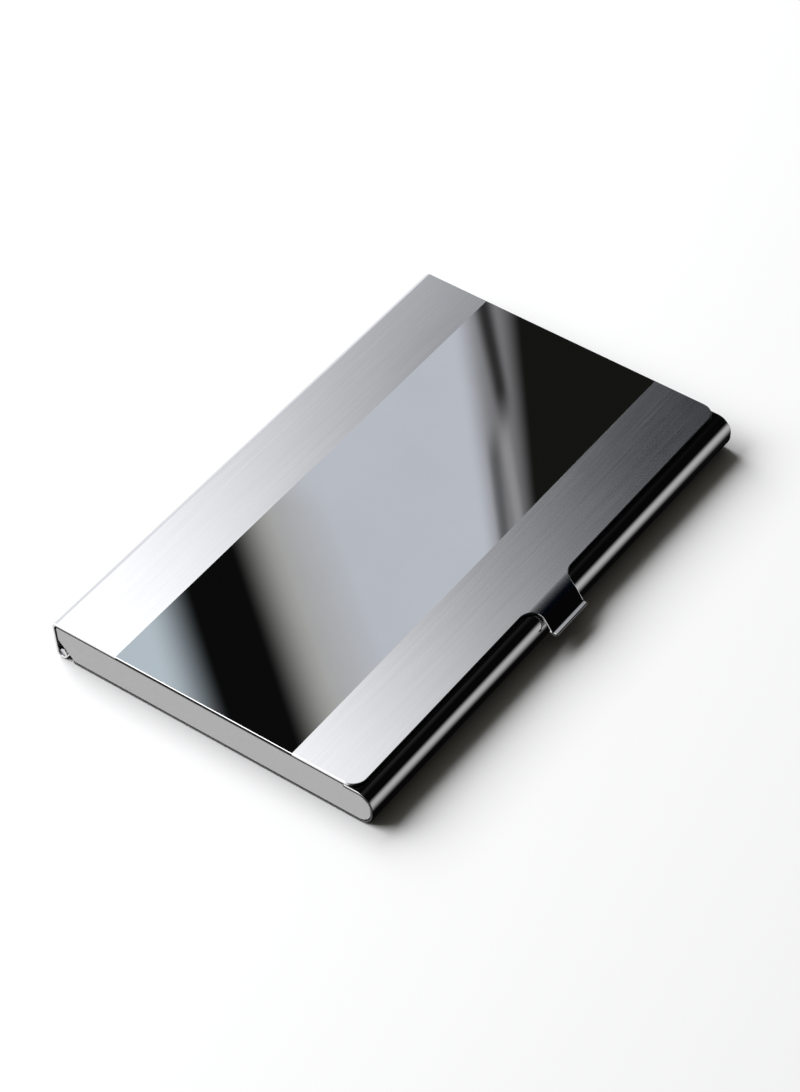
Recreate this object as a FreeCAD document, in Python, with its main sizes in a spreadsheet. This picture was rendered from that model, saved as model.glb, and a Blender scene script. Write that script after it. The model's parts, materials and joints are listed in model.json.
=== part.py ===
import FreeCAD, Part
import math
import os

import Sketcher
from FreeCAD import Vector

# A hinged business card case folded from thin stainless sheet.
# X runs along the case, the thumb tab is on the -Y side, the hinge on the +Y side, and +Z is up.
# The origin is the middle of the underside. Everything is in millimetres, and the lid is shut.

SIZES = (
    ("case_length", 93.0, "outside length along X"),
    ("case_height", 6.6, "underside to the top of the shut lid"),
    ("sheet", 0.4, "thickness of the lid and base sheet"),
    ("hinge_y", 27.0, "hinge axis, behind the middle"),
    ("hinge_z", 1.0, "hinge axis, above the underside"),
    ("pin_radius", 0.55, "hinge pin"),
    ("pin_inset", 0.25, "pin end below the end of its knuckle"),
    ("pin_rounding", 0.12, "rounded rim of the pin's ends"),
    ("pin_clearance", 0.05, "running clearance between the pin and a curl"),
    ("wall_lean", 6.0, "degrees that the lid's rear wall leans outwards going up"),
    ("rear_bend", 1.0, "outer radius of the lid's rear bend"),
    ("lid_curl", 244.0, "degrees of sheet rolled round the pin on the lid"),
    ("base_curl", 280.0, "degrees of sheet rolled round the pin on the base"),
    ("lid_front", -25.8, "front edge of the lid"),
    ("lid_corner", 2.4, "corner radius of the lid, seen from above"),
    ("lid_gap", 0.2, "gap under the shut lid"),
    ("edge_rounding", 0.15, "rounded outer rim of the lid"),
    ("tab_half_width", 4.05, "half the width of the thumb tab"),
    ("tab_root", 2.6, "concave radius where the tab leaves the lid"),
    ("tab_bend_y", -26.05, "where the tab starts to turn down"),
    ("tab_bend", 3.2, "outer radius of the tab's turn over the nose"),
    ("tab_turn", 56.0, "degrees that the tab turns down"),
    ("tab_straight", 1.8, "straight stretch of the tab, down to its flare"),
    ("tab_flare", 0.25, "radius of the tab's flare"),
    ("flare_turn", 58.0, "degrees that the flare turns back out"),
    ("flare_lip", 0.6, "straight lip at the end of the flare"),
    ("nose_y", -28.5, "front of the base's nose"),
    ("nose_top", 2.6, "outer radius of the nose's upper bend"),
    ("nose_flat", 0.75, "upright stretch between the nose's bends"),
    ("lip_end", -23.3, "rear edge of the lip that the nose turns into"),
    ("floor_rear", 24.95, "rear edge of the floor between the knuckles"),
    ("centre_half", 6.1, "half the length of the lid's middle knuckle"),
    ("end_knuckle", 13.3, "length of each of the lid's end knuckles"),
    ("knuckle_gap", 0.2, "gap between neighbouring knuckles"),
    ("notch_gap", 0.25, "gap above a base knuckle in the lid's rear wall"),
    ("plate", 1.2, "thickness of an end plate"),
    ("plate_inset", 0.05, "end plate face behind the sheet's cut edge"),
    ("plate_bevel", 0.12, "bevel round the end plate's outer face"),
    ("lip_gap", 0.1, "gap between the lip and the end plate's step"),
    ("lifter", 0.3, "thickness of the card lifter"),
    ("lifter_half", 38.0, "half the length of the card lifter"),
    ("lifter_front", 15.0, "front edge of the card lifter"),
    ("lifter_corner", 3.0, "corner radius of the card lifter"),
    ("lifter_low", 0.85, "underside of the lifter's flap"),
    ("lifter_slope", 37.5, "slope of the lifter over the hinge, in degrees"),
    ("lifter_clear", 0.15, "gap between the lifter and the knuckles"),
    ("lifter_top", 5.0, "top edge of the lifter on the lid's rear wall"),
    ("lifter_bend", 1.2, "outer radius of the lifter's bends"),
    ("spring", 0.25, "thickness of the snap spring"),
    ("spring_half", 4.0, "half the width of the snap spring"),
    ("spring_front", 8.0, "front edge of the snap spring"),
    ("spring_slope", 60.0, "slope of the snap spring's tip, in degrees"),
    ("spring_clear", 0.1, "gap between the spring's tip and the knuckle"),
    ("spring_tip", 0.6, "how far the tip stops below the knuckle's tangent point"),
    ("spring_bend", 1.0, "outer radius of the snap spring's bend"),
    ("rivet_x", 2.2, "rivets, from the middle"),
    ("rivet_y", 10.6, "rivets, behind the middle"),
    ("rivet_shank", 0.5, "radius of a rivet's shank"),
    ("rivet_head", 0.9, "radius of a rivet's head"),
    ("head_height", 0.35, "height of a rivet's head"),
    ("head_rounding", 0.28, "rounded rim of a rivet's head"),
)

# Cutting outlines reach this far out, which is past every face of the case.
FAR = 60.0
BEYOND = 2 * FAR

# Two lengths that differ by less than this are equal.
TINY = 1e-6


def make_sheet(doc):
    """The spreadsheet with one named cell for each driving dimension."""
    sheet = doc.addObject("Spreadsheet::Sheet", "sizes")
    for row, (name, value, meaning) in enumerate(SIZES, start=1):
        sheet.set(f"A{row}", name)
        sheet.set(f"B{row}", str(value))
        sheet.set(f"C{row}", meaning)
        sheet.setAlias(f"B{row}", name)
    doc.recompute()
    return sheet


class Outline:
    """A flat outline walked as straight runs and tangent bends. Its inside is on the left."""

    def __init__(self, start, heading):
        self.at = Vector(start[0], start[1], 0)
        self.heading = heading
        self.pieces = []

    def direction(self, turn=0.0):
        """Unit vector along the heading, turned to the left by so many degrees."""
        angle = math.radians(self.heading + turn)
        return Vector(math.cos(angle), math.sin(angle), 0)

    def run(self, length):
        """Walks straight ahead."""
        end = self.at + self.direction() * length
        self.pieces.append({"kind": "line", "from": self.at, "to": end})
        self.at = end
        return self

    def turn(self, degrees):
        """A sharp corner, to the left if positive."""
        self.heading += degrees
        return self

    def bend(self, radius, degrees, rule=None):
        """A tangent arc, to the left if positive. The rule binds its radius to the sheet."""
        side = math.copysign(90.0, degrees)
        centre = self.at + self.direction(side) * radius
        first = self.heading - side
        end = centre + _polar(radius, first + degrees)
        self.pieces.append(
            {
                "kind": "arc",
                "centre": centre,
                "radius": radius,
                "angles": (first, first + degrees),
                "rule": rule,
                "from": self.at,
                "to": end,
            }
        )
        self.at = end
        self.heading += degrees
        return self

    def thicken(self, thickness, rule):
        """The closed section of a sheet. This walk is its outer face, with its inner face on the left."""
        inner = []
        for piece in self.pieces:
            inner.append(_offset(piece, thickness, rule))
        outer_end = self.pieces[-1]["to"]
        outer_start = self.pieces[0]["from"]
        closed = list(self.pieces)
        closed.append({"kind": "line", "from": outer_end, "to": inner[-1]["from"]})
        closed.extend(reversed(inner))
        closed.append({"kind": "line", "from": inner[0]["to"], "to": outer_start})
        self.pieces = closed
        return self


def _polar(radius, degrees):
    """The point at this radius and angle."""
    angle = math.radians(degrees)
    return Vector(radius * math.cos(angle), radius * math.sin(angle), 0)


def _headings(piece):
    """The walk's heading at the start and the end of one piece."""
    if piece["kind"] == "line":
        step = piece["to"] - piece["from"]
        angle = math.degrees(math.atan2(step.y, step.x))
        return angle, angle
    first, last = piece["angles"]
    side = math.copysign(90.0, last - first)
    return first + side, last + side


def _offset(piece, thickness, rule):
    """The same piece moved to the left by one thickness and walked backwards."""
    heading_in, heading_out = _headings(piece)
    start = piece["from"] + _polar(thickness, heading_in + 90)
    end = piece["to"] + _polar(thickness, heading_out + 90)
    if piece["kind"] == "line":
        return {"kind": "line", "from": end, "to": start}
    first, last = piece["angles"]
    left = last > first
    radius = piece["radius"] - thickness if left else piece["radius"] + thickness
    sign = "-" if left else "+"
    made_rule = f"{piece['rule']} {sign} {rule}" if piece["rule"] else None
    return {
        "kind": "arc",
        "centre": piece["centre"],
        "radius": radius,
        "angles": (last, first),
        "rule": made_rule,
        "from": end,
        "to": start,
    }


def draw(sketch, outlines):
    """Draws closed outlines in a sketch, joins their ends and binds the radii that have a rule."""
    for outline in outlines:
        first_index = sketch.GeometryCount
        ends = []
        for piece in outline.pieces:
            ends.append(_add_piece(sketch, piece))
        count = len(outline.pieces)
        for number in range(count):
            following = (number + 1) % count
            sketch.addConstraint(
                Sketcher.Constraint(
                    "Coincident",
                    first_index + number,
                    ends[number][1],
                    first_index + following,
                    ends[following][0],
                )
            )
        for number, piece in enumerate(outline.pieces):
            if piece.get("rule"):
                index = sketch.addConstraint(
                    Sketcher.Constraint("Radius", first_index + number, piece["radius"])
                )
                sketch.setExpression(f"Constraints[{index}]", piece["rule"])


def _add_piece(sketch, piece):
    """Adds one line or arc, and returns which of its ends the walk enters and leaves by."""
    if piece["kind"] == "line":
        sketch.addGeometry(Part.LineSegment(piece["from"], piece["to"]), False)
        return 1, 2
    first, last = (math.radians(angle) for angle in piece["angles"])
    circle = Part.Circle(piece["centre"], Vector(0, 0, 1), piece["radius"])
    if last > first:
        sketch.addGeometry(Part.ArcOfCircle(circle, first, last), False)
        return 1, 2
    sketch.addGeometry(Part.ArcOfCircle(circle, last, first), False)
    return 2, 1


def rectangle(left, bottom, right, top):
    """A rectangle as a closed outline."""
    outline = Outline((left, bottom), 0)
    outline.run(right - left).turn(90).run(top - bottom).turn(90)
    return outline.run(right - left).turn(90).run(top - bottom)


def new_body(doc, label):
    """An empty body, named as its node."""
    body = doc.addObject("PartDesign::Body", label)
    body.Label = label
    return body


def new_sketch(body, name, role, outlines):
    """A sketch on one of the body's own origin planes."""
    sketch = body.newObject("Sketcher::SketchObject", name)
    plane = next(f for f in body.Origin.OriginFeatures if f.Role == role)
    sketch.AttachmentSupport = [(plane, "")]
    sketch.MapMode = "FlatFace"
    draw(sketch, outlines)
    return sketch


def pad(body, name, sketch, length_rule):
    """Extrudes a sketch to both sides of its plane."""
    feature = body.newObject("PartDesign::Pad", name)
    feature.Profile = sketch
    feature.SideType = "Symmetric"
    feature.setExpression("Length", length_rule)
    sketch.Visibility = False
    return feature


def cut_through(body, name, sketch):
    """Cuts a sketch's outlines through everything, to both sides of its plane."""
    feature = body.newObject("PartDesign::Pocket", name)
    feature.Profile = sketch
    feature.SideType = "Symmetric"
    feature.Type = "ThroughAll"
    sketch.Visibility = False
    return feature


def circle_outline(centre, radius, rule):
    """A full circle as two half-circle bends."""
    outline = Outline((centre[0], centre[1] - radius), 0)
    return outline.bend(radius, 180, rule).bend(radius, 180)


def drill_for_rivets(body, name, size):
    """Cuts the two rivet holes through a body."""
    holes = []
    for side in (-1, 1):
        centre = (side * size["rivet_x"], size["rivet_y"])
        holes.append(circle_outline(centre, size["rivet_shank"], "sizes.rivet_shank"))
    sketch = new_sketch(body, f"{name}_holes", "XY_Plane", holes)
    cut_through(body, f"{name}_drilled", sketch)


def curl_radius(size):
    """Outer radius of a knuckle."""
    return size["pin_radius"] + size["pin_clearance"] + size["sheet"]


def build_base_shell(doc, size):
    """Floor, nose and lip in one folded sheet, with two knuckles rolled at its rear."""
    body = new_body(doc, "base_shell")
    lid_under = size["case_height"] - size["sheet"]
    top = lid_under - size["lid_gap"]
    low_bend = top - size["nose_top"] - size["nose_flat"]
    section = Outline((size["lip_end"], top), 180)
    section.run(size["lip_end"] - size["nose_y"] - size["nose_top"])
    section.bend(size["nose_top"], 90, "sizes.nose_top")
    section.run(size["nose_flat"])
    section.bend(low_bend, 90)
    section.run(size["hinge_y"] - section.at.x)
    section.bend(curl_radius(size), size["base_curl"])
    section.thicken(size["sheet"], "sizes.sheet")
    profile = new_sketch(body, "base_section", "YZ_Plane", [section])
    pad(body, "base_sheet", profile, "sizes.case_length")

    half = size["case_length"] / 2
    inner = size["centre_half"] + size["knuckle_gap"]
    outer = half - size["end_knuckle"] - size["knuckle_gap"]
    rear = size["floor_rear"]
    gaps = [
        rectangle(-FAR, rear, -outer, FAR),
        rectangle(-inner, rear, inner, FAR),
        rectangle(outer, rear, FAR, FAR),
    ]
    gap_sketch = new_sketch(body, "knuckle_gaps", "XY_Plane", gaps)
    cut_through(body, "knuckle_cut", gap_sketch)
    drill_for_rivets(body, "floor", size)
    return body


def lid_plan(size):
    """The lid seen from above: rounded front corners and the thumb tab with its concave roots."""
    half = size["case_length"] / 2
    corner = size["lid_corner"]
    root = size["tab_root"]
    tab = size["tab_half_width"]
    reach = size["lid_front"] - size["nose_y"] + corner
    side = FAR - corner
    plan = Outline((half, size["lid_front"] + corner), 90)
    plan.run(side).turn(90).run(2 * half).turn(90).run(side)
    plan.bend(corner, 90, "sizes.lid_corner")
    plan.run(half - corner - tab - root)
    plan.bend(root, -90, "sizes.tab_root")
    plan.run(reach).turn(90).run(2 * tab).turn(90).run(reach)
    plan.bend(root, -90, "sizes.tab_root")
    plan.run(half - corner - tab - root)
    plan.bend(corner, 90, "sizes.lid_corner")
    return plan


def build_lid_panel(doc, size):
    """Top, rear wall, knuckles and thumb tab in one folded sheet."""
    body = new_body(doc, "lid_panel")
    lean = math.radians(size["wall_lean"])
    knuckle = curl_radius(size)
    first_angle = 360 - size["wall_lean"] - size["lid_curl"]
    start = Vector(size["hinge_y"], size["hinge_z"], 0) + _polar(knuckle, first_angle)
    section = Outline((start.x, start.y), first_angle + 90)
    section.bend(knuckle, size["lid_curl"])
    radius_step = (size["rear_bend"] - knuckle) * math.sin(lean)
    rise = size["case_height"] - size["rear_bend"] - size["hinge_z"] - radius_step
    section.run(rise / math.cos(lean))
    section.bend(size["rear_bend"], 90 + size["wall_lean"], "sizes.rear_bend")
    section.run(section.at.x - size["tab_bend_y"])
    section.bend(size["tab_bend"], size["tab_turn"], "sizes.tab_bend")
    section.run(size["tab_straight"])
    section.bend(size["tab_flare"], -size["flare_turn"], "sizes.tab_flare")
    section.run(size["flare_lip"])
    section.thicken(size["sheet"], "sizes.sheet")
    profile = new_sketch(body, "lid_section", "YZ_Plane", [section])
    pad(body, "lid_sheet", profile, "sizes.case_length")

    frame = rectangle(-BEYOND, -BEYOND, BEYOND, BEYOND)
    plan_sketch = new_sketch(body, "lid_plan", "XY_Plane", [frame, lid_plan(size)])
    cut_through(body, "lid_trim", plan_sketch)

    notch_top = size["hinge_z"] + knuckle + size["notch_gap"]
    inner = size["centre_half"]
    outer = size["case_length"] / 2 - size["end_knuckle"]
    notches = [
        rectangle(-outer, -FAR, -inner, notch_top),
        rectangle(inner, -FAR, outer, notch_top),
    ]
    notch_sketch = new_sketch(body, "wall_notches", "XZ_Plane", notches)
    notched = cut_through(body, "wall_cut", notch_sketch)
    doc.recompute()

    # The rounding follows the tangent edges all the way round the rim, the tab and the wall.
    rim = body.newObject("PartDesign::Fillet", "lid_rim")
    rim.Base = (notched, _end_edges(notched.Shape, size))
    rim.setExpression("Radius", "sizes.edge_rounding")
    return body


def _end_edges(shape, size):
    """The names of the two straight edges at the ends of the lid's flat top."""
    names = []
    for number, edge in enumerate(shape.Edges, start=1):
        box = edge.BoundBox
        at_end = abs(abs(box.Center.x) - size["case_length"] / 2) < TINY
        at_top = abs(box.ZMin - size["case_height"]) < TINY
        if at_end and at_top and box.ZLength < TINY:
            names.append(f"Edge{number}")
    return names


def build_end_plate(doc, label, side, size):
    """A flat plate that fills one end of the base. Side is -1 for the left end and 1 for the right."""
    body = new_body(doc, label)
    sheet = size["sheet"]
    lean = size["wall_lean"]
    top = size["case_height"] - sheet - size["lid_gap"]
    low_bend = top - size["nose_top"] - size["nose_flat"]
    gap = size["lid_gap"]
    hinge = Vector(size["hinge_y"], size["hinge_z"], 0)
    knuckle = curl_radius(size)

    # The rear edge follows the lid's wall, and a 45 degree cut keeps clear of the knuckles.
    wall_normal = _polar(1, -lean)
    wall_along = _polar(1, 90 - lean)
    wall_point = hinge + wall_normal * (knuckle - sheet - gap)
    cut_normal = _polar(1, 135)
    cut_point = hinge + cut_normal * (knuckle + gap)
    floor_corner = cut_point.x - (cut_point.y - sheet)
    cut_corner = _crossing(cut_point, _polar(1, 45), wall_point, wall_along)
    bend = size["rear_bend"] - sheet - gap
    wall_top = top - bend - bend * math.sin(math.radians(lean))

    outline = Outline((size["nose_y"] + low_bend, sheet), 0)
    outline.run(floor_corner - outline.at.x).turn(45)
    outline.run((cut_corner.x - floor_corner) * math.sqrt(2)).turn(45 - lean)
    outline.run((wall_top - cut_corner.y) / math.cos(math.radians(lean)))
    outline.bend(bend, 90 + lean)
    outline.run(outline.at.x - size["lip_end"] - size["lip_gap"]).turn(90)
    outline.run(sheet).turn(-90)
    outline.run(outline.at.x - size["nose_y"] - size["nose_top"])
    outline.bend(size["nose_top"] - sheet, 90, "sizes.nose_top - sizes.sheet")
    outline.run(size["nose_flat"])
    outline.bend(low_bend - sheet, 90)
    profile = new_sketch(body, f"{label}_outline", "YZ_Plane", [outline])
    plate = pad(body, f"{label}_blank", profile, "sizes.plate")
    doc.recompute()

    bevel = body.newObject("PartDesign::Chamfer", f"{label}_bevel")
    face = _face_at(plate.Shape, side * size["plate"] / 2)
    bevel.Base = (plate, [face])
    bevel.setExpression("Size", "sizes.plate_bevel")
    doc.recompute()
    offset = "sizes.case_length / 2 - sizes.plate_inset - sizes.plate / 2"
    body.setExpression("Placement.Base.x", f"{side} * ({offset})")
    return body


def _face_at(shape, position):
    """The name of the flat end face that lies at this X."""
    for number, face in enumerate(shape.Faces, start=1):
        box = face.BoundBox
        if box.XLength < TINY and abs(box.Center.x - position) < TINY:
            return f"Face{number}"
    raise ValueError(f"no face at X {position}")


def _crossing(point_a, along_a, point_b, along_b):
    """Where two lines in the plane cross."""
    step = point_b - point_a
    across = along_a.x * along_b.y - along_a.y * along_b.x
    distance = (step.x * along_b.y - step.y * along_b.x) / across
    return point_a + along_a * distance


def build_hinge_pin(doc, size):
    """The long pin that all the knuckles turn on."""
    rod = doc.addObject("Part::Cylinder", "pin_rod")
    rod.setExpression("Radius", "sizes.pin_radius")
    rod.setExpression("Height", "sizes.case_length - 2 * sizes.pin_inset")
    doc.recompute()
    pin = doc.addObject("Part::Fillet", "hinge_pin")
    pin.Base = rod
    rounding = size["pin_rounding"]
    rims = []
    for number, edge in enumerate(rod.Shape.Edges, start=1):
        if edge.Closed:
            rims.append((number, rounding, rounding))
    pin.Edges = rims
    pin.Label = "hinge_pin"
    start = -size["case_length"] / 2 + size["pin_inset"]
    pin.Placement = FreeCAD.Placement(
        Vector(start, size["hinge_y"], size["hinge_z"]),
        FreeCAD.Rotation(Vector(0, 1, 0), 90),
    )
    return pin


def build_card_lifter(doc, size):
    """A thin flap on the lid's rear wall that reaches over the hinge and under the cards."""
    body = new_body(doc, "card_lifter")
    slope = size["lifter_slope"]
    lean = size["wall_lean"]
    bend = size["lifter_bend"]
    hinge = Vector(size["hinge_y"], size["hinge_z"], 0)
    knuckle = curl_radius(size)
    slope_along = _polar(1, slope)
    slope_point = hinge + _polar(knuckle + size["lifter_clear"], slope + 90)
    flap_point = Vector(0, size["lifter_low"], 0)
    flap_corner = _crossing(slope_point, slope_along, flap_point, _polar(1, 0))
    wall_along = _polar(1, 90 - lean)
    wall_point = hinge + _polar(knuckle - size["sheet"], -lean)
    wall_corner = _crossing(slope_point, slope_along, wall_point, wall_along)
    low_cut = bend * math.tan(math.radians(slope / 2))
    high_turn = 90 - lean - slope
    high_cut = bend * math.tan(math.radians(high_turn / 2))

    section = Outline((size["lifter_front"], size["lifter_low"]), 0)
    section.run(flap_corner.x - size["lifter_front"] - low_cut)
    section.bend(bend, slope, "sizes.lifter_bend")
    section.run((wall_corner - flap_corner).Length - low_cut - high_cut)
    section.bend(bend, high_turn, "sizes.lifter_bend")
    rise = size["lifter_top"] - wall_corner.y
    section.run(rise / math.cos(math.radians(lean)) - high_cut)
    section.thicken(size["lifter"], "sizes.lifter")
    profile = new_sketch(body, "lifter_section", "YZ_Plane", [section])
    pad(body, "lifter_sheet", profile, "2 * sizes.lifter_half")

    corner = size["lifter_corner"]
    half = size["lifter_half"]
    plan = Outline((-half + corner, size["lifter_front"]), 0)
    plan.run(2 * (half - corner)).bend(corner, 90, "sizes.lifter_corner")
    plan.run(FAR).turn(90).run(2 * half).turn(90).run(FAR)
    plan.bend(corner, 90, "sizes.lifter_corner")
    frame = rectangle(-BEYOND, -BEYOND, BEYOND, BEYOND)
    plan_sketch = new_sketch(body, "lifter_plan", "XY_Plane", [frame, plan])
    cut_through(body, "lifter_trim", plan_sketch)
    return body


def build_snap_spring(doc, size):
    """A leaf riveted to the floor, whose tip bears on the lid's middle knuckle."""
    body = new_body(doc, "snap_spring")
    slope = size["spring_slope"]
    bend = size["spring_bend"]
    hinge = Vector(size["hinge_y"], size["hinge_z"], 0)
    slope_along = _polar(1, slope)
    slope_point = hinge + _polar(curl_radius(size) + size["spring_clear"], slope + 90)
    corner = _crossing(slope_point, slope_along, Vector(0, size["sheet"], 0), _polar(1, 0))
    cut = bend * math.tan(math.radians(slope / 2))
    section = Outline((size["spring_front"], size["sheet"]), 0)
    section.run(corner.x - size["spring_front"] - cut)
    section.bend(bend, slope, "sizes.spring_bend")
    section.run((slope_point - corner).Length - size["spring_tip"] - cut)
    section.thicken(size["spring"], "sizes.spring")
    profile = new_sketch(body, "spring_section", "YZ_Plane", [section])
    pad(body, "spring_leaf", profile, "2 * sizes.spring_half")
    drill_for_rivets(body, "spring", size)
    return body


def build_rivet(doc, name, size):
    """One rivet: a shank through floor and spring, and a low rounded head."""
    shank = doc.addObject("Part::Cylinder", f"{name}_shank")
    shank.setExpression("Radius", "sizes.rivet_shank")
    shank.setExpression("Height", "sizes.sheet + sizes.spring")
    head = doc.addObject("Part::Cylinder", f"{name}_head")
    head.setExpression("Radius", "sizes.rivet_head")
    head.setExpression("Height", "sizes.head_height")
    head.setExpression("Placement.Base.z", "sizes.sheet + sizes.spring")
    doc.recompute()
    rounded = doc.addObject("Part::Fillet", f"{name}_round")
    rounded.Base = head
    top = size["sheet"] + size["spring"] + size["head_height"]
    rounding = size["head_rounding"]
    rims = []
    for number, edge in enumerate(head.Shape.Edges, start=1):
        if abs(edge.BoundBox.ZMin - top) < TINY:
            rims.append((number, rounding, rounding))
    rounded.Edges = rims
    rivet = doc.addObject("Part::Fuse", name)
    rivet.Base = shank
    rivet.Tool = rounded
    return rivet


def build_spring_rivets(doc, size):
    """The two rivets that hold the snap spring, as a group of separate solids."""
    rivets = []
    for name, side in (("rivet_left", -1), ("rivet_right", 1)):
        rivet = build_rivet(doc, name, size)
        rivet.Placement.Base = Vector(side * size["rivet_x"], size["rivet_y"], 0)
        rivets.append(rivet)
    group = doc.addObject("Part::Compound", "spring_rivets")
    group.Links = rivets
    group.Label = "spring_rivets"
    return group


def check(doc, parts):
    """Stops if any object failed to build or any sub-part isn't made of valid solids."""
    for item in doc.Objects:
        for flag in ("Invalid", "Error"):
            if flag in item.State:
                raise RuntimeError(f"{item.Name} is {item.State}")
    for part in parts:
        shape = part.Shape
        if shape.isNull() or not shape.isValid() or not shape.Solids:
            raise RuntimeError(f"{part.Label} has no valid shape")


def save(parts):
    """Writes one STEP file for each sub-part, and prints its volume and box."""
    os.makedirs("parts", exist_ok=True)
    for part in parts:
        part.Shape.exportStep(f"parts/{part.Label}.step")
        box = part.Shape.optimalBoundingBox()
        low = [round(value, 2) for value in (box.XMin, box.YMin, box.ZMin)]
        high = [round(value, 2) for value in (box.XMax, box.YMax, box.ZMax)]
        print(part.Label, len(part.Shape.Solids), round(part.Shape.Volume, 2), low, high)


def main():
    """Builds every sub-part and writes them out."""
    doc = FreeCAD.newDocument("card_case")
    sheet = make_sheet(doc)
    size = {name: float(sheet.get(name)) for name, _, _ in SIZES}
    parts = [
        build_base_shell(doc, size),
        build_end_plate(doc, "left_end_plate", -1, size),
        build_end_plate(doc, "right_end_plate", 1, size),
        build_hinge_pin(doc, size),
        build_snap_spring(doc, size),
        build_spring_rivets(doc, size),
        build_lid_panel(doc, size),
        build_card_lifter(doc, size),
    ]
    doc.recompute()
    check(doc, parts)
    save(parts)


main()
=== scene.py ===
import json
import math

import bmesh
import bpy
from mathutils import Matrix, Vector


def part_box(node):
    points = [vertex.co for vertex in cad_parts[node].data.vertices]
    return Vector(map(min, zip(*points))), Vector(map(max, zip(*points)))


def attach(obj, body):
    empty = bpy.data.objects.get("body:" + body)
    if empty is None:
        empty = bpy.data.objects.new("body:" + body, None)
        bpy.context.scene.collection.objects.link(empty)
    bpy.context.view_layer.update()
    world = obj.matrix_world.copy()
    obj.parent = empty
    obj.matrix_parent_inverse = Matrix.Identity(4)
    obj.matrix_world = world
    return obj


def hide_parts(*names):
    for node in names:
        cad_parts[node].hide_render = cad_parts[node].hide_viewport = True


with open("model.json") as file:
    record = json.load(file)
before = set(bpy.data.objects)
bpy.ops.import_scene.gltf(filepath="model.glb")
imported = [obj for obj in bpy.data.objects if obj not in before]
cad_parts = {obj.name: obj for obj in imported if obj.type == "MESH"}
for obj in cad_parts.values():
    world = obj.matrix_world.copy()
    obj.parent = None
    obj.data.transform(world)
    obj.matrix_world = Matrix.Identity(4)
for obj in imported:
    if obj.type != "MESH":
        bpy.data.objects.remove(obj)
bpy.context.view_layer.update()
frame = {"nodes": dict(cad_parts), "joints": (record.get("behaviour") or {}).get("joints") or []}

# A steel business card case, lying shut on a pale table. Everything is in metres, in the CAD frame:
# X along the case, the thumb tab on the -Y side, the hinge on the +Y side, +Z up.

MM = 0.001

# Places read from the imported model.
HINGE = Vector(frame["joints"][0]["pos_m"])
BASE_LOW, BASE_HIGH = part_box("base_shell")
LID_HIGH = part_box("lid_panel")[1]
PLATE_LOW, PLATE_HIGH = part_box("right_end_plate")
LIFTER_LOW, LIFTER_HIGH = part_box("card_lifter")
HALF_LENGTH = BASE_HIGH.x
LID_TOP = LID_HIGH.z
BASE_TOP = BASE_HIGH.z

# The folded sheets. Leans, curls, turns and slopes are in degrees.
SHEET = 0.4 * MM
KNUCKLE = 1.0 * MM            # outer radius of the curls round the hinge pin
WALL_LEAN = 6.0
REAR_BEND = 1.0 * MM
LID_CURL = 244.0
BASE_CURL = 280.0
LID_FRONT = -25.8 * MM
LID_CORNER = 2.4 * MM
TAB_HALF = 4.05 * MM
TAB_ROOT = 2.6 * MM
TAB_BEND_Y = -26.05 * MM
TAB_BEND = 3.2 * MM
TAB_TURN = 56.0
TAB_STRAIGHT = 1.8 * MM
TAB_FLARE = 0.25 * MM
FLARE_TURN = 58.0
FLARE_LIP = 0.6 * MM
NOSE_TOP = 2.6 * MM
NOSE_FLAT = 0.75 * MM
LIP_END = -23.3 * MM
FLOOR_REAR = 24.95 * MM
CENTRE_KNUCKLE = 6.1 * MM
END_KNUCKLE = 13.3 * MM
KNUCKLE_GAP = 0.2 * MM
NOTCH_TOP = 2.25 * MM         # top of the notches in the lid's rear wall
MIRROR_REAR = 16.75 * MM      # the polished band across the lid, between the brushed ones
MIRROR_FRONT = -14.57 * MM
CUT_CORNER = 0.25 * MM        # smallest corner of a stamped sheet
LID_ROUNDING = 0.15 * MM      # rounded outer rims
BASE_ROUNDING = 0.25 * MM
INNER_ROUNDING = 0.06 * MM    # rounded inner rim of the lid and the base
LIP_PAINTED_SHADE = 1.2 * MM            # end of the thumb tab whose rims and inner face are painted near-black, as painted shade
LIFTER = 0.3 * MM
LIFTER_SLOPE = 37.5
LIFTER_BEND = 1.2 * MM
LIFTER_CLEAR = 0.15 * MM
LIFTER_CORNER = 3.0 * MM
LIFTER_ROUNDING = 0.08 * MM
PLATE_GROOVE = 0.10 * MM      # thin dark gap round an end plate
PLATE_BEVEL = 0.14 * MM
PLATE_INNER_ROUNDING = 0.08 * MM
LIP_GAP = 0.1 * MM            # between the base's lip and the step in an end plate
RIVET_X = 2.2 * MM
RIVET_Y = 10.6 * MM
RIVET_HOLE = 0.5 * MM
DEGREES_PER_STRIP = 5.0       # how finely bends and corners are cut
ARC_STEP = 0.25 * MM
UV_SPAN = 100 * MM            # length that one unit of the UV map covers

# A flat slab's face is told by how far its average normal leans.
FACES_IN = 0.98
FACES_AHEAD = 0.35
FACES_OUT = -0.9
ON_OUTER_RIM = -0.25


# ---------------------------------------------------------------------------
# Folded sheets: a flat blank with rounded edges, sliced and bent along a line.
# ---------------------------------------------------------------------------

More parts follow.
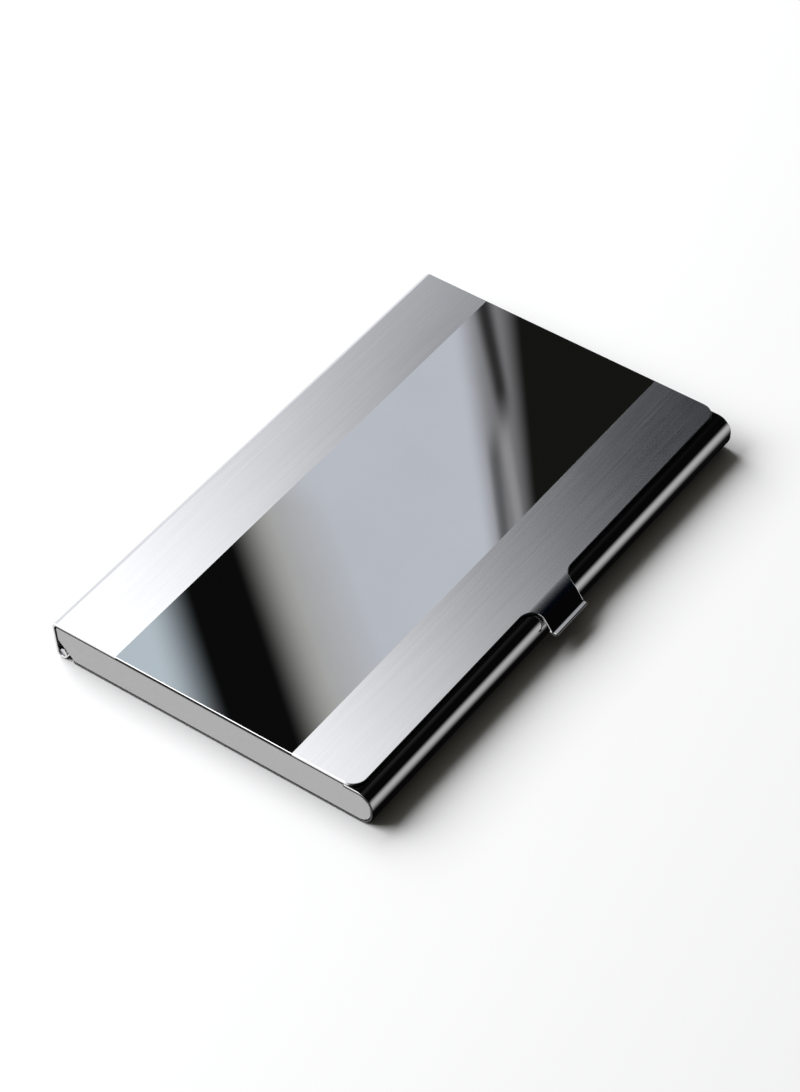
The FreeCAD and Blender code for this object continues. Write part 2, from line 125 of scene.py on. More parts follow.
class Fold:
    """The outer face of a folded sheet seen along X, as a walk in (y, z). Its inside is on the left."""

    def __init__(self, start, heading):
        self.at = Vector(start)
        self.heading = math.radians(heading)
        self.length = 0.0
        self.pieces = []
        self.cuts = []

    def _add(self, length, curve):
        self.pieces.append((self.length, self.at.copy(), self.heading, curve))
        self.length += length
        self.at, self.heading = self.place(self.length, 0.0)
        return self.length

    def run(self, length):
        """Walks straight ahead and returns how far the walk has come."""
        return self._add(length, 0.0)

    def bend(self, radius, degrees):
        """A tangent bend, to the left if positive, with the cuts that keep it round."""
        angle = math.radians(degrees)
        strips = max(2, math.ceil(abs(degrees) / DEGREES_PER_STRIP))
        length = abs(angle) * radius
        self.cuts += [self.length + length * n / strips for n in range(strips + 1)]
        return self._add(length, math.copysign(1 / radius, degrees))

    def place(self, along, depth):
        """The point in (y, z) and the heading there, at this distance along and depth into the sheet."""
        start, point, heading, curve = self.pieces[0]
        for piece in self.pieces:
            if piece[0] <= along + 1e-9:
                start, point, heading, curve = piece
        step = along - start
        left = Vector((-math.sin(heading), math.cos(heading)))
        if curve == 0.0:
            ahead = Vector((math.cos(heading), math.sin(heading)))
            return point + ahead * step + left * depth, heading
        centre = point + left / curve
        heading += curve * step
        left = Vector((-math.sin(heading), math.cos(heading)))
        return centre - left / curve + left * depth, heading


def outline_ring(corners, inset):
    """One ring of points round an outline, moved in from its edge, each with its outward direction."""
    ring = []
    for number, (corner, radius) in enumerate(corners):
        before = (corner - corners[number - 1][0]).normalized()
        after = (corners[(number + 1) % len(corners)][0] - corner).normalized()
        turn = math.atan2(before.x * after.y - before.y * after.x, before.dot(after))
        side = math.copysign(1.0, turn)
        inwards = Vector((-before.y, before.x))
        mitre = (inwards + Vector((-after.y, after.x))) / (1 + before.dot(after))
        bend = radius - side * inset
        start = corner + mitre * inset - before * bend * math.tan(abs(turn) / 2)
        centre = start + inwards * side * bend
        steps = 3 if radius <= CUT_CORNER else max(6, int(abs(turn) * radius / ARC_STEP))
        for step in range(steps + 1):
            angle = turn * step / steps
            out = Vector(
                (
                    -inwards.x * math.cos(angle) + inwards.y * math.sin(angle),
                    -inwards.x * math.sin(angle) - inwards.y * math.cos(angle),
                )
            )
            ring.append((centre + out * side * bend, out))
    return ring


def edge_profile(thickness, outer, inner, steps=4):
    """The rounded edge of a sheet from its outer to its inner face: (inset, depth, outwards, down)."""
    profile = []
    for step in range(steps + 1):
        angle = math.pi / 2 * step / steps
        profile.append(
            (outer * (1 - math.sin(angle)), outer * (1 - math.cos(angle)), math.sin(angle), -math.cos(angle))
        )
    for step in range(steps + 1):
        angle = math.pi / 2 * step / steps
        depth = thickness - inner * (1 - math.sin(angle))
        profile.append((inner * (1 - math.cos(angle)), depth, math.cos(angle), math.sin(angle)))
    return profile


def make_slab(corners, thickness, outer, inner, shrink=0.0):
    """A flat closed slab with rounded edges. Its outer face is at depth 0 and faces down."""
    bm = bmesh.new()
    flat_normal = bm.verts.layers.float_vector.new("flat_normal")
    rings = []
    for inset, depth, outwards, down in edge_profile(thickness, outer, inner):
        ring = []
        for point, out in outline_ring(corners, inset + shrink):
            vert = bm.verts.new((point.x, point.y, depth))
            vert[flat_normal] = (out.x * outwards, out.y * outwards, down)
            ring.append(vert)
        rings.append(ring)
    count = len(rings[0])
    for low, high in zip(rings, rings[1:]):
        for number in range(count):
            following = (number + 1) % count
            bm.faces.new((low[number], low[following], high[following], high[number]))
    bm.faces.new(list(reversed(rings[0])))
    bm.faces.new(rings[-1])
    return bm


def slice_slab(bm, cuts, faces=None, axis=1):
    """Cuts the slab, or only some of its faces, across an axis at each of these places."""
    normal = [0.0, 0.0, 0.0]
    normal[axis] = 1.0
    for cut in cuts:
        place = [0.0, 0.0, 0.0]
        place[axis] = cut
        chosen = faces if faces is not None else bm.faces[:]
        edges = {edge for face in chosen for edge in face.edges}
        verts = {vert for face in chosen for vert in face.verts}
        bmesh.ops.bisect_plane(
            bm, geom=[*verts, *edges, *chosen], dist=1e-8, plane_co=place, plane_no=normal
        )


def drill(bm, x, along, radius, sides=32):
    """A round hole through a flat stretch of the slab, joined to square cuts round it."""
    flat_normal = bm.verts.layers.float_vector["flat_normal"]
    reach = 2 * radius
    walls = []
    for down in (-1.0, 1.0):
        for axis, middle in ((0, x), (1, along)):
            for cut in (middle - reach, middle + reach):
                around = [f for f in bm.faces if _covers(f, x, along, down, flat_normal)]
                slice_slab(bm, [cut], around, axis)
        lid = next(f for f in bm.faces if _covers(f, x, along, down, flat_normal))
        depth = lid.verts[0].co.z
        square = sorted(lid.verts, key=lambda v: math.atan2(v.co.y - along, v.co.x - x))
        bm.faces.remove(lid)
        circle = []
        for number in range(sides):
            angle = -math.pi + 2 * math.pi * (number + 0.5) / sides
            vert = bm.verts.new((x + radius * math.cos(angle), along + radius * math.sin(angle), depth))
            vert[flat_normal] = (0.0, 0.0, down)
            circle.append(vert)
        _fill_between(bm, square, circle, x, along, down)
        walls.append(circle)
    for number in range(sides):
        following = (number + 1) % sides
        face = (walls[0][following], walls[0][number], walls[1][number], walls[1][following])
        bm.faces.new(face)


def _covers(face, x, along, down, layer):
    """True for the cap face over this point."""
    if any(abs(v[layer].z - down) > 0.01 for v in face.verts):
        return False
    inside = False
    points = [v.co for v in face.verts]
    for a, b in zip(points, points[1:] + points[:1]):
        if (a.y > along) != (b.y > along):
            if x < a.x + (along - a.y) * (b.x - a.x) / (b.y - a.y):
                inside = not inside
    return inside


def _fill_between(bm, square, circle, x, along, down):
    """Four faces between a square's rim and the circle inside it."""
    corner_angles = [math.atan2(v.co.y - along, v.co.x - x) for v in square]
    count = len(circle)
    for number, corner in enumerate(square):
        following = square[(number + 1) % len(square)]
        first = _nearest(circle, corner_angles[number], x, along)
        last = _nearest(circle, corner_angles[(number + 1) % len(square)], x, along)
        arc = [circle[first]]
        while first != last:
            first = (first + 1) % count
            arc.append(circle[first])
        face = [corner, following, *reversed(arc)]
        if down < 0:
            face.reverse()
        bm.faces.new(face)


def _nearest(circle, angle, x, along):
    """The circle's first point at or after this angle."""
    def after(vert):
        turn = math.atan2(vert.co.y - along, vert.co.x - x) - angle
        return turn % (2 * math.pi)
    return min(range(len(circle)), key=lambda n: after(circle[n]))


def finish_piece(name, bm, place, choose_slot, materials, body, replaced):
    """Moves the slab's points to their places, keeps their smooth normals and makes the object."""
    flat_normal = bm.verts.layers.float_vector["flat_normal"]
    uv = bm.loops.layers.uv.new("UVMap")
    for face in bm.faces:
        face.smooth = True
        face.material_index = choose_slot(face, flat_normal)
        for loop in face.loops:
            loop[uv].uv = (loop.vert.co.y / UV_SPAN, loop.vert.co.x / UV_SPAN)
    for vert in bm.verts:
        vert.co, normal = place(vert.co, vert[flat_normal].normalized())
        vert[flat_normal] = normal
    mesh = bpy.data.meshes.new(name)
    bm.verts.ensure_lookup_table()
    normals = [tuple(v[flat_normal]) for v in bm.verts]
    bm.verts.layers.float_vector.remove(flat_normal)
    bm.to_mesh(mesh)
    bm.free()
    mesh.normals_split_custom_set_from_vertices(normals)
    for material in materials:
        mesh.materials.append(material)
    piece = bpy.data.objects.new(name, mesh)
    bpy.context.scene.collection.objects.link(piece)
    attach(piece, body)
    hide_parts(replaced)
    return piece


def folded(fold):
    """How a slab's point and normal (x, along, depth) are bent along a fold."""
    def place(flat, normal):
        point, heading = fold.place(flat.y, flat.z)
        ahead = Vector((math.cos(heading), math.sin(heading)))
        left = Vector((-ahead.y, ahead.x))
        turned = ahead * normal.y + left * normal.z
        return Vector((flat.x, point.x, point.y)), Vector((normal.x, turned.x, turned.y))
    return place


def polar(radius, degrees):
    """The point at this distance and angle from the origin of the plane."""
    angle = math.radians(degrees)
    return Vector((radius * math.cos(angle), radius * math.sin(angle)))


def crossing(point_a, degrees_a, point_b, degrees_b):
    """Where two lines in the plane cross."""
    along_a, along_b = polar(1, degrees_a), polar(1, degrees_b)
    step = point_b - point_a
    across = along_a.x * along_b.y - along_a.y * along_b.x
    return point_a + along_a * ((step.x * along_b.y - step.y * along_b.x) / across)


def two_sided(points):
    """A closed outline from its right half, listed from the bottom middle up to the top middle."""
    right = [(Vector(p), r) for p, r in points]
    left = [(Vector((-p.x, p.y)), r) for p, r in reversed(right)]
    return right + left


# ---------------------------------------------------------------------------
# Materials
# ---------------------------------------------------------------------------

class Nodes:
    """A short way to write a node tree: each call adds a node and returns its output."""

    def __init__(self, tree):
        self.tree = tree
        tree.nodes.clear()

    def add(self, kind, inputs=None, output=0, **settings):
        node = self.tree.nodes.new(kind)
        for key, value in settings.items():
            setattr(node, key, value)
        for key, value in (inputs or {}).items():
            if isinstance(value, bpy.types.NodeSocket):
                self.tree.links.new(value, node.inputs[key])
            else:
                node.inputs[key].default_value = value
        return node.outputs[output] if len(node.outputs) else node

    def math(self, operation, a, b=0.0, c=0.0):
        return self.add("ShaderNodeMath", {0: a, 1: b, 2: c}, operation=operation)

    def rescale(self, value, low, high, to_low=0.0, to_high=1.0, kind="LINEAR"):
        inputs = {0: value, 1: low, 2: high, 3: to_low, 4: to_high}
        return self.add("ShaderNodeMapRange", inputs, interpolation_type=kind)

    def noise(self, vector, scale, detail, roughness):
        inputs = {"Vector": vector, "Scale": scale, "Detail": detail, "Roughness": roughness}
        return self.add("ShaderNodeTexNoise", inputs)

    def stretched(self, vector, scale):
        return self.add("ShaderNodeMapping", {"Vector": vector, "Scale": scale})

    def axes(self, vector):
        """The X, Y and Z of a vector."""
        node = self.tree.nodes.new("ShaderNodeSeparateXYZ")
        self.tree.links.new(vector, node.inputs[0])
        return node.outputs

    def mix(self, share, a, b):
        inputs = {0: share, 6: a, 7: b}
        return self.add("ShaderNodeMix", inputs, 2, data_type="RGBA")

    def ramp(self, value, stops):
        """A colour ramp. Stops are (place, grey) or (place, colour) and places run from 0 to 1."""
        node = self.tree.nodes.new("ShaderNodeValToRGB")
        self.tree.links.new(value, node.inputs[0])
        elements = node.color_ramp.elements
        while len(elements) < len(stops):
            elements.new(0.5)
        for element, (place, shade) in zip(elements, stops):
            element.position = place
            element.color = (*shade, 1.0) if isinstance(shade, tuple) else (shade, shade, shade, 1.0)
        return node.outputs[0]


def steel(name, tint, roughness, grain, grain_depth, brushed=0.0, spread=0.03, smudge=0.02, worn=None):
    """Bare steel. Grain is the texture's scale per metre along X, Y and Z: a brushed one is long in X."""
    material = bpy.data.materials.new(name)
    material.use_nodes = True
    n = Nodes(material.node_tree)
    place = n.add("ShaderNodeTexCoord", output=3)
    fine = n.noise(n.stretched(place, grain), 1.0, 1.0, 0.4)
    broad = n.noise(n.stretched(place, tuple(g * 0.3 for g in grain)), 1.0, 1.0, 0.4)
    both = n.math("MULTIPLY_ADD", fine, 0.65, n.math("MULTIPLY", broad, 0.35))
    wiped = n.noise(place, 70.0, 4.0, 0.55)
    streaky = n.rescale(both, 0.3, 0.7, roughness - spread, roughness + spread)
    rough = n.math("ADD", streaky, n.rescale(wiped, 0.35, 0.75, 0.0, smudge))
    if worn:
        rough = n.math("MULTIPLY", rough, n.rescale(n.axes(place)[1], *worn, kind="SMOOTHSTEP"))
    dark = tuple(c * 0.93 for c in tint) + (1.0,)
    colour = n.mix(n.rescale(both, 0.3, 0.7), dark, (*tint, 1.0))
    bump = n.add("ShaderNodeBump", {"Strength": 1.0, "Distance": grain_depth, "Height": both})
    inputs = {"Base Color": colour, "Metallic": 1.0, "Roughness": rough, "Normal": bump}
    if brushed:
        inputs["Anisotropic"] = brushed
        inputs["Tangent"] = n.add("ShaderNodeTangent", direction_type="UV_MAP", uv_map="UVMap")
    shader = n.add("ShaderNodeBsdfPrincipled", inputs)
    n.add("ShaderNodeOutputMaterial", {"Surface": shader})
    return material


def mirror(name, tint, waves):
    """Steel polished to a mirror: sharp, hardly wavy, with faint cloudy tints from wiping."""
    material = bpy.data.materials.new(name)
    material.use_nodes = True
    n = Nodes(material.node_tree)
    place = n.add("ShaderNodeTexCoord", output=3)
    cloud = n.noise(place, 60.0, 4.0, 0.6)
    dark = tuple(c * 0.96 for c in tint) + (1.0,)
    colour = n.mix(n.rescale(cloud, 0.35, 0.7), dark, (*tint, 1.0))
    swell = n.noise(place, 45.0, 2.0, 0.4)
    bump = n.add("ShaderNodeBump", {"Strength": 1.0, "Distance": waves, "Height": swell})
    inputs = {"Base Color": colour, "Metallic": 1.0, "Roughness": MIRROR_ROUGHNESS, "Normal": bump}
    shader = n.add("ShaderNodeBsdfPrincipled", inputs)
    n.add("ShaderNodeOutputMaterial", {"Surface": shader})
    return material


BRUSH_LINES = (70.0, 2600.0, 2600.0)
ROLL_LINES = (120.0, 2500.0, 2500.0)
FINE_GRAIN = (5200.0, 5200.0, 5200.0)
COARSE_GRAIN = (1800.0, 1800.0, 1800.0)
MIRROR_ROUGHNESS = 0.002
# Thumbs rub the tab smooth: between these places its roughness falls to a half.
THUMB_WEAR = (-28.6 * MM, -27.2 * MM, 0.5, 1.0)

brushed_steel = steel(
    "brushed_steel",
    (0.80, 0.80, 0.80),
    0.105,
    BRUSH_LINES,
    0.02e-6,
    brushed=0.8,
    spread=0.006,
    smudge=0.012,
    worn=THUMB_WEAR,
)
mirror_steel = mirror("mirror_steel", (0.82, 0.82, 0.82), 1.2e-6)
# Near-black steel for the sheets' cut edges and rims: partly the cut's own dull colour, mostly painted shade
# for the gaps and shadows along them.
cut_steel_painted_shade = steel("cut_steel_painted_shade", (0.07, 0.07, 0.07), 0.30, COARSE_GRAIN, 0.2e-6)
inside_steel = steel("inside_steel", (0.70, 0.70, 0.71), 0.27, ROLL_LINES, 0.2e-6, brushed=0.5)
polished_steel = mirror("polished_steel", (0.48, 0.48, 0.48), 0.8e-6)
satin_steel = steel("satin_steel", (0.48, 0.48, 0.48), 0.46, FINE_GRAIN, 0.5e-6)
wire_steel = steel("wire_steel", (0.60, 0.60, 0.61), 0.22, ROLL_LINES, 0.2e-6)
spring_steel = steel("spring_steel", (0.55, 0.55, 0.57), 0.30, ROLL_LINES, 0.2e-6)


# ---------------------------------------------------------------------------
# The case
# ---------------------------------------------------------------------------

def sheet_slots(outer, inner, cut, band=None, painted_shade_past=math.inf):
    """Chooses a face's slot: outer face, inner face, the near-black cut slot, or the band's own slot.

    Rims that face ahead take the cut slot, which paints shade on them. Past the last argument's place along
    the sheet, all but the outer face counts as cut as well, with the same painted shade.
    """
    def choose(face, layer):
        down = sum(v[layer].z for v in face.verts) / len(face.verts)
        ahead = sum(v[layer].y for v in face.verts) / len(face.verts)
        along = sum(v.co.y for v in face.verts) / len(face.verts)
        if down > FACES_IN:
            return inner
        if ahead > FACES_AHEAD or (along > painted_shade_past and down > FACES_OUT):
            return cut
        if band and band[0] < along < band[1]:
            return band[2]
        return outer
    return choose


def plain_slots(face, layer):
    """Outer face with its rounded rim, inner face, and the sheet's cut edges in near-black steel, which
    paints shade on them.
    """
    down = sum(v[layer].z for v in face.verts) / len(face.verts)
    if down < ON_OUTER_RIM:
        return 0
    return 1 if down > FACES_IN else 2


def build_lid():
    """Top, rear wall, knuckles and thumb tab, folded from one sheet."""
    first_angle = 360 - WALL_LEAN - LID_CURL
    start = HINGE.yz + polar(KNUCKLE, first_angle)
    lean = math.radians(WALL_LEAN)
    fold = Fold(start, first_angle + 90)
    wall = fold.bend(KNUCKLE, LID_CURL)
    wall_foot = fold.at.copy()
    rise = LID_TOP - REAR_BEND * (1 + math.sin(lean)) - wall_foot.y
    fold.run(rise / math.cos(lean))
    top = fold.bend(REAR_BEND, 90 + WALL_LEAN)
    top_rear = fold.at.x
    fold.run(top_rear - TAB_BEND_Y)
    fold.bend(TAB_BEND, TAB_TURN)
    fold.run(TAB_STRAIGHT)
    fold.bend(TAB_FLARE, -FLARE_TURN)
    tip = fold.run(FLARE_LIP)

    notch = wall + (NOTCH_TOP - wall_foot.y) / math.cos(lean)
    front = top + top_rear - LID_FRONT
    finger = HALF_LENGTH - END_KNUCKLE
    corners = two_sided(
        [
            ((CENTRE_KNUCKLE, 0), CUT_CORNER),
            ((CENTRE_KNUCKLE, notch), CUT_CORNER),
            ((finger, notch), CUT_CORNER),
            ((finger, 0), CUT_CORNER),
            ((HALF_LENGTH, 0), CUT_CORNER),
            ((HALF_LENGTH, front), LID_CORNER),
            ((TAB_HALF, front), TAB_ROOT),
            ((TAB_HALF, tip), CUT_CORNER),
        ]
    )
    bm = make_slab(corners, SHEET, LID_ROUNDING, INNER_ROUNDING)
    band = (top + top_rear - MIRROR_REAR, top + top_rear - MIRROR_FRONT)
    slice_slab(bm, sorted([*fold.cuts, *band, front - LID_CORNER]))
    # Rims that face ahead and the last stretch of the tab get the near-black steel: painted shade along the
    # front edge and the tab's lip.
    materials = [brushed_steel, mirror_steel, inside_steel, cut_steel_painted_shade]
    choose = sheet_slots(0, 2, 3, (*band, 1), tip - LIP_PAINTED_SHADE)
    return finish_piece(
        "lid_shell", bm, folded(fold), choose, materials, "lid", "lid_panel"
    )


def build_base():
    """Floor, nose and lip in one folded sheet, with two knuckles rolled at its rear."""
    nose_low = BASE_TOP - NOSE_TOP - NOSE_FLAT
    fold = Fold((LIP_END, BASE_TOP), 180)
    fold.run(LIP_END - BASE_LOW.y - NOSE_TOP)
    fold.bend(NOSE_TOP, 90)
    fold.run(NOSE_FLAT)
    floor = fold.bend(nose_low, 90)
    floor_front = fold.at.x
    fold.run(HINGE.y - floor_front)
    tip = fold.bend(KNUCKLE, BASE_CURL)

    rear = floor + FLOOR_REAR - floor_front
    inner = CENTRE_KNUCKLE + KNUCKLE_GAP
    outer = HALF_LENGTH - END_KNUCKLE - KNUCKLE_GAP
    corners = two_sided(
        [
            ((HALF_LENGTH, 0), CUT_CORNER),
            ((HALF_LENGTH, rear), CUT_CORNER),
            ((outer, rear), CUT_CORNER),
            ((outer, tip), CUT_CORNER),
            ((inner, tip), CUT_CORNER),
            ((inner, rear), CUT_CORNER),
        ]
    )
    bm = make_slab(corners, SHEET, BASE_ROUNDING, INNER_ROUNDING)
    slice_slab(bm, sorted(fold.cuts))
    for side in (-1, 1):
        drill(bm, side * RIVET_X, floor + RIVET_Y - floor_front, RIVET_HOLE)
    # The base's cut edges and their rims take the near-black steel: painted shade in the dark line round the
    # end plates and along the floor.
    materials = [polished_steel, inside_steel, cut_steel_painted_shade]
    return finish_piece(
        "base_body", bm, folded(fold), plain_slots, materials, "base", "base_shell"
    )


def build_lifter():
    """The thin flap on the lid's rear wall that reaches under the cards."""
    slope_point = HINGE.yz + polar(KNUCKLE + LIFTER_CLEAR, LIFTER_SLOPE + 90)
    flap_corner = crossing(slope_point, LIFTER_SLOPE, Vector((0, LIFTER_LOW.z)), 0)
    wall_point = HINGE.yz + polar(KNUCKLE - SHEET, -WALL_LEAN)
    wall_corner = crossing(slope_point, LIFTER_SLOPE, wall_point, 90 - WALL_LEAN)
    high_turn = 90 - WALL_LEAN - LIFTER_SLOPE
    low_cut = LIFTER_BEND * math.tan(math.radians(LIFTER_SLOPE / 2))
    high_cut = LIFTER_BEND * math.tan(math.radians(high_turn / 2))
    wall_rise = LIFTER_HIGH.z - LIFTER * math.sin(math.radians(WALL_LEAN)) - wall_corner.y

    fold = Fold((LIFTER_LOW.y, LIFTER_LOW.z), 0)
    fold.run(flap_corner.x - LIFTER_LOW.y - low_cut)
    fold.bend(LIFTER_BEND, LIFTER_SLOPE)
    fold.run((wall_corner - flap_corner).length - low_cut - high_cut)
    fold.bend(LIFTER_BEND, high_turn)
    tip = fold.run(wall_rise / math.cos(math.radians(WALL_LEAN)) - high_cut)
    half = LIFTER_HIGH.x
    corners = two_sided([((half, 0), LIFTER_CORNER), ((half, tip), CUT_CORNER)])
    bm = make_slab(corners, LIFTER, LIFTER_ROUNDING, LIFTER_ROUNDING)
    slice_slab(bm, sorted([*fold.cuts, LIFTER_CORNER]))
    # Its rims that face ahead take the near-black steel: painted shade.
    return finish_piece(
        "lifter_flap",
        bm,
        folded(fold),
        sheet_slots(0, 0, 1),
        [inside_steel, cut_steel_painted_shade],
        "lid",
        "card_lifter",
    )


def build_end_plate(name, node, side):
    """The satin plate that closes one end of the base. Side is -1 for the left end and 1 for the right."""
    gap = LID_TOP - SHEET - BASE_TOP
    inside = BASE_TOP - SHEET
    front = BASE_LOW.y + SHEET
    low_radius = BASE_TOP - NOSE_TOP - NOSE_FLAT - SHEET
    cut_point = HINGE.yz + polar(KNUCKLE + gap, 135)
    wall_point = HINGE.yz + polar(KNUCKLE - SHEET - gap, -WALL_LEAN)
    floor_corner = crossing(cut_point, 45, Vector((0, SHEET)), 0)
    cut_corner = crossing(cut_point, 45, wall_point, 90 - WALL_LEAN)
    wall_corner = crossing(wall_point, 90 - WALL_LEAN, Vector((0, BASE_TOP)), 0)
    step = LIP_END - LIP_GAP
    outline = [
        (Vector((front, SHEET)), low_radius),
        (floor_corner, CUT_CORNER),
        (cut_corner, CUT_CORNER),
        (wall_corner, REAR_BEND - SHEET - gap),
        (Vector((step, BASE_TOP)), CUT_CORNER),
        (Vector((step, inside)), CUT_CORNER),
        (Vector((front, inside)), NOSE_TOP - SHEET),
    ]
    if side > 0:
        outline = [(Vector((-p.x, p.y)), r) for p, r in reversed(outline)]
    thickness = PLATE_HIGH.x - PLATE_LOW.x
    bm = make_slab(outline, thickness, PLATE_BEVEL, PLATE_INNER_ROUNDING, PLATE_GROOVE)

    def place(flat, normal):
        if side < 0:
            return Vector((-PLATE_HIGH.x + flat.z, flat.x, flat.y)), Vector((normal.z, normal.x, normal.y))
        return Vector((PLATE_HIGH.x - flat.z, -flat.x, flat.y)), Vector((-normal.z, -normal.x, normal.y))

    # Its rims that face upward take the near-black steel: painted shade under the lid's edge.
    return finish_piece(
        name, bm, place, sheet_slots(0, 0, 1), [satin_steel, cut_steel_painted_shade], "base", node
    )


def dress(node, material):
    """Gives a CAD piece that stays in view its finish."""
    piece = frame["nodes"][node]
    piece.data.materials.clear()
    piece.data.materials.append(material)


build_lid()
build_base()
build_lifter()
build_end_plate("left_plate", "left_end_plate", -1)
build_end_plate("right_plate", "right_end_plate", 1)
dress("hinge_pin", wire_steel)
dress("snap_spring", spring_steel)
dress("spring_rivets", wire_steel)


# ---------------------------------------------------------------------------
# Camera, table and light
# ---------------------------------------------------------------------------

CAMERA_AT = Vector((-0.32020, -0.22877, 0.40364))
CAMERA_TARGET = Vector((0.00028, 0.00038, 0.0))
CAMERA_LENS = 124.96
TABLE_RADIUS = 3.0
TABLE_DROP = 0.02 * MM
LAMP_AT = Vector((-0.15, 0.74, 0.66))
LAMP_SIZE = (1.3, 0.75)
LAMP_WATTS = 20.7

# The studio's colours.
BACKDROP = (0.95, 0.95, 0.95, 1.0)
AFTER_BOUNCE = (0.02, 0.02, 0.02, 1.0)
WINDOW = (2.33, 2.34, 2.41, 1.0)
FILL_NONE = (0.0, 0.002, 0.006, 1.0)
FILL_FULL = (0.97, 0.99, 1.05, 1.0)
FRONT_DARK = (0.002, 0.002, 0.002, 1.0)
ROOM_DARK = (0.009, 0.009, 0.008, 1.0)
STREAK = (0.012, 0.012, 0.012, 1.0)
GLOW = (0.31, 0.31, 0.32, 1.0)
FLOOR_SEEN = (0.93, 0.93, 0.93, 1.0)
HORIZON = (0.81, 0.81, 0.81, 1.0)
PALE_WALL = (0.58, 0.61, 0.67, 1.0)
BLUE_WALL = (0.55, 0.63, 0.69, 1.0)
WARM_WALL = (0.44, 0.44, 0.43, 1.0)
GREY_ROOM = (0.22, 0.22, 0.23, 1.0)
NIGHT = (0.004, 0.004, 0.004, 1.0)
AMBIENT = [(0.0, (0.008, 0.007, 0.004)), (0.5, (0.09, 0.085, 0.07)), (1.0, (0.45, 0.45, 0.45))]


def build_camera():
    """A long lens that looks down on the case from its front left."""
    data = bpy.data.cameras.new("camera")
    data.lens = CAMERA_LENS
    data.sensor_width = 36.0
    data.clip_start = 0.01
    data.clip_end = 20.0
    camera = bpy.data.objects.new("camera", data)
    camera.location = CAMERA_AT
    camera.rotation_euler = (CAMERA_TARGET - CAMERA_AT).to_track_quat("-Z", "Y").to_euler()
    bpy.context.scene.collection.objects.link(camera)
    bpy.context.scene.camera = camera


def build_table():
    """A wide pale table just under the case. The steel mirrors the studio's plain floor in its place."""
    mesh = bpy.data.meshes.new("table")
    bm = bmesh.new()
    bmesh.ops.create_circle(bm, cap_ends=True, segments=96, radius=TABLE_RADIUS)
    bm.to_mesh(mesh)
    bm.free()
    material = bpy.data.materials.new("table_paint")
    material.use_nodes = True
    n = Nodes(material.node_tree)
    shader = n.add(
        "ShaderNodeBsdfPrincipled",
        {"Base Color": (0.90, 0.90, 0.905, 1.0), "Roughness": 0.9, "Specular IOR Level": 0.0},
    )
    n.add("ShaderNodeOutputMaterial", {"Surface": shader})
    mesh.materials.append(material)
    table = bpy.data.objects.new("table", mesh)
    table.location.z = -TABLE_DROP
    table.visible_glossy = False
    bpy.context.scene.collection.objects.link(table)


def build_world():
    """A studio with a soft window at the rear left, dark at the front and on the right.

    It isn't one real room: camera, diffuse, rough and mirror rays each see their own surroundings.
    """
    world = bpy.data.worlds.new("studio")
    bpy.context.scene.world = world
    world.use_nodes = True
    world.cycles.sampling_method = "NONE"
    n = Nodes(world.node_tree)
    across, ahead, up = n.axes(n.add("ShaderNodeTexCoord", output=0))

    # Where on the lid's top the camera sees each part of the studio mirrored, in millimetres.
    height = (CAMERA_AT.z - LID_TOP) / MM
    above = n.math("MAXIMUM", up, 0.01)
    x = n.math("MULTIPLY_ADD", n.math("DIVIDE", across, above), height, CAMERA_AT.x / MM)
    y = n.math("MULTIPLY_ADD", n.math("DIVIDE", ahead, above), height, CAMERA_AT.y / MM)

    room = _room(n, x, y, ahead, up)
    sharp = _mirrored(n, x, y, ahead, up, room)
    # Nothing pale stands at the front left, so the base's rim stays dark round the nose.
    aside = n.rescale(across, -0.75, -0.55, 1, 0)
    corner = n.math("MULTIPLY", aside, n.rescale(ahead, 0.0, 0.25, 1, 0))
    sharp = n.mix(corner, sharp, NIGHT)
    path = n.tree.nodes.new("ShaderNodeLightPath")
    glossy = n.mix(path.outputs["Is Singular Ray"], room, sharp)
    ambient = n.ramp(n.rescale(ahead, -0.6, 0.8), AMBIENT)
    glossy = n.mix(n.math("MINIMUM", path.outputs["Diffuse Depth"], 1.0), glossy, AFTER_BOUNCE)
    seen = n.mix(path.outputs["Is Glossy Ray"], ambient, glossy)
    backdrop = n.mix(path.outputs["Is Camera Ray"], seen, BACKDROP)
    background = n.add("ShaderNodeBackground", {"Color": backdrop, "Strength": 1.0})
    n.add("ShaderNodeOutputWorld", {"Surface": background})


def _room(n, x, y, ahead, up):
    """The studio as brushed and satin steel blur it: the window's edge runs across the lid."""
    # The window: bright on the left of a slanting edge, and fading towards the front.
    t = n.math("MULTIPLY_ADD", n.math("MAXIMUM", y, -60.0), -0.1, x)
    near = n.rescale(t, -128, 44, 1.0, 0.0, "SMOOTHSTEP")
    fade = n.ramp(
        n.rescale(y, -600, -20),
        [(0.0, 0.0), (0.32, 0.02), (0.57, 0.055), (0.78, 0.15), (0.91, 0.45), (1.0, 1.0)],
    )
    window = n.math("MULTIPLY", near, fade)
    # Fills from the rear, the far left, the far right and the front.
    rear = n.math("MULTIPLY", n.rescale(y, -8, 34, 0.0, 0.68, "SMOOTHSTEP"), n.rescale(x, 60, 150, 1, 0))
    rear = n.math("MAXIMUM", rear, n.rescale(y, 190, 320, 0.0, 1.1))
    side = n.rescale(t, -1500, -150, 0.5, 0.0)
    far_right = n.rescale(t, 300, 2500, 0.0, 0.35)
    haze = n.rescale(y, -200, -60, 0.0, 0.01)
    fill = n.math("ADD", haze, n.math("MAXIMUM", rear, n.math("ADD", side, far_right)))
    dim = n.mix(n.math("MINIMUM", fill, 1.0), FILL_NONE, FILL_FULL)
    above = n.mix(window, dim, WINDOW)
    seen = n.mix(n.rescale(up, -0.04, 0.04), FLOOR_SEEN, above)
    return n.mix(n.rescale(ahead, -0.75, -0.35), FRONT_DARK, seen)


